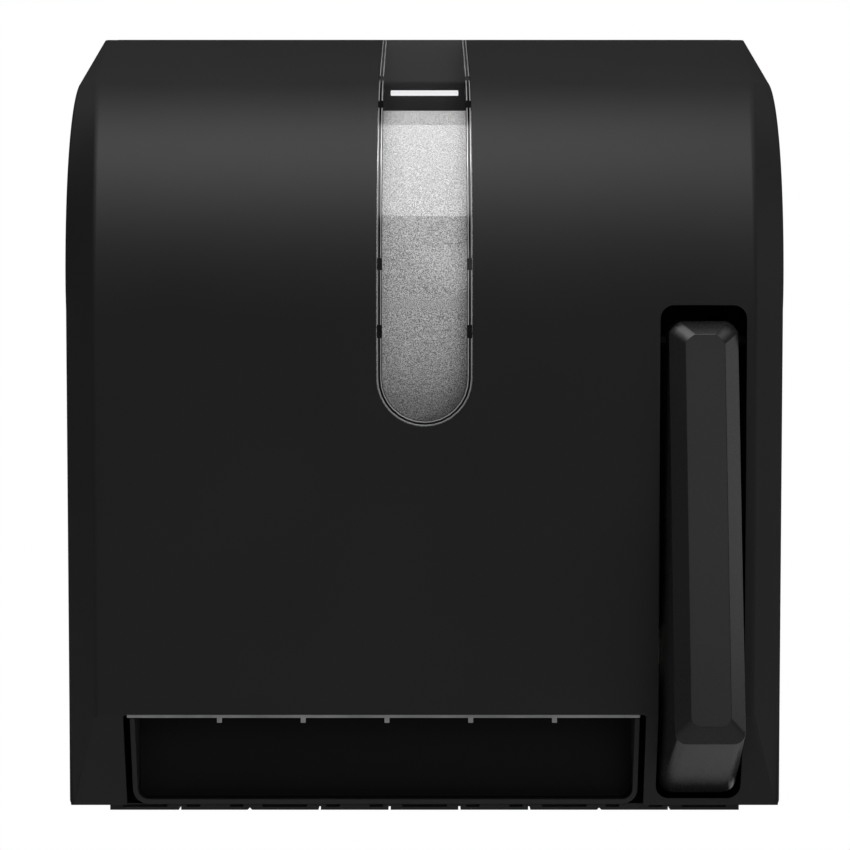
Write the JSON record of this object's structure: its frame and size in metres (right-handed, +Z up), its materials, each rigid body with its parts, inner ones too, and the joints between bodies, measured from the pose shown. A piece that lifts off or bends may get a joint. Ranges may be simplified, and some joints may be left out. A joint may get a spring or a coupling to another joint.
{
  "type": "push lever roll towel dispenser",
  "caption": "Wall-mounted roll towel dispenser: drop-down cover with a curved window, push lever at one side that turns the feed roller through gears, tear bar above the exit.",
  "frame": {"origin": "centre of the wall-screw pattern, on the wall face", "axes": "+X to the viewer's right, +Y into the wall, +Z up"},
  "size_m": [0.3206, 0.2505, 0.367],
  "materials": {
    "cover_black": "satin",
    "lever_black": "matte",
    "chassis_black": "matte",
    "lens_smoke": "polished",
    "tear_bar_steel": "satin",
    "screw_steel": "satin",
    "pin_steel": "satin",
    "pin_black": "satin",
    "spring_steel": "satin",
    "lock_metal": "satin",
    "bearing_ivory": "satin",
    "gear_ivory": "satin",
    "roller_rubber": "matte",
    "core_board": "matte",
    "paper_white": "matte"
  },
  "bodies": {
    "chassis": {"back_plate": "chassis_black", "left_frame": "chassis_black", "right_frame": "chassis_black", "gear_frame": "chassis_black", "chute": "chassis_black", "tear_bar": "tear_bar_steel", "tear_bar_screws": "screw_steel", "base_tray": "chassis_black", "paper_guide": "chassis_black", "lever_pin": "pin_black", "idler_pin": "pin_steel", "pin_clips": "pin_steel", "feed_bushes": "bearing_ivory", "pinch_blocks": "bearing_ivory", "pinch_springs": "spring_steel", "frame_screws": "screw_steel", "cover_hinge_pins": "pin_steel", "left_roll_arm": "chassis_black", "left_hub": "gear_ivory", "arm_pin": "pin_steel", "arm_spring": "spring_steel", "lever_spring": "spring_steel", "spring_peg": "pin_steel", "lock_keeper": "chassis_black"},
    "cover": {"cover_shell": "cover_black", "window_lens": "lens_smoke", "lock_nut": "lock_metal"},
    "lock": {"lock_barrel": "lock_metal", "lock_cam": "lock_metal", "lock_screw": "screw_steel"},
    "lever": {"lever_shell": "lever_black", "sector_gear": "gear_ivory", "lever_screws": "screw_steel"},
    "double_gear": {"compound_gear": "gear_ivory"},
    "feed_roller": {"feed_shaft": "pin_steel", "feed_sleeves": "roller_rubber", "feed_gear": "gear_ivory"},
    "pinch_roller": {"pinch_shaft": "pin_steel", "pinch_sleeve": "roller_rubber"},
    "roll": {"roll_core": "core_board", "paper_roll": "paper_white"},
    "roll_arm": {"right_roll_arm": "chassis_black", "right_hub": "gear_ivory"}
  },
  "joints": [
    {"name": "cover_hinge", "type": "hinge", "parent": "chassis", "child": "cover", "pos_m": [0, -0.014, -0.172], "axis": [1, 0, 0], "range_deg": [0, 90]},
    {"name": "lock_turn", "type": "hinge", "parent": "cover", "child": "lock", "pos_m": [-0.1507, -0.042, 0.06], "axis": [1, 0, 0], "range_deg": [0, 90]},
    {"name": "lever_push", "type": "hinge", "parent": "chassis", "child": "lever", "pos_m": [0.1224, -0.19813, 0.0285], "axis": [1, 0, 0], "range_deg": [0, 9], "stiffness_Nm_per_rad": 1, "springref_deg": -22.92, "deforming": ["lever_spring"]},
    {"name": "double_gear_spin", "type": "hinge", "parent": "chassis", "child": "double_gear", "pos_m": [0.096, -0.12155, -0.11255], "axis": [1, 0, 0], "range_deg": [-130, 0]},
    {"name": "feed_roller_spin", "type": "hinge", "parent": "chassis", "child": "feed_roller", "pos_m": [0, -0.15305, -0.11255], "axis": [1, 0, 0], "range_deg": [0, 258]},
    {"name": "pinch_roller_spin", "type": "hinge", "parent": "chassis", "child": "pinch_roller", "pos_m": [0, -0.17735, -0.11255], "axis": [1, 0, 0], "range_deg": [-515, 0]},
    {"name": "roll_spin", "type": "hinge", "parent": "chassis", "child": "roll", "pos_m": [-0.0181, -0.106, 0.04401], "axis": [1, 0, 0], "continuous": true},
    {"name": "roll_arm_swing", "type": "hinge", "parent": "chassis", "child": "roll_arm", "pos_m": [0.0904, -0.014, 0.04401], "axis": [0, 0, 1], "range_deg": [0, 8], "stiffness_Nm_per_rad": 1, "springref_deg": -11.46, "deforming": ["arm_spring"]}
  ],
  "couplings": [
    {"joint": "double_gear_spin", "follows": "lever_push", "ratio": -14.286},
    {"joint": "feed_roller_spin", "follows": "lever_push", "ratio": 28.571},
    {"joint": "pinch_roller_spin", "follows": "lever_push", "ratio": -57.143}
  ]
}
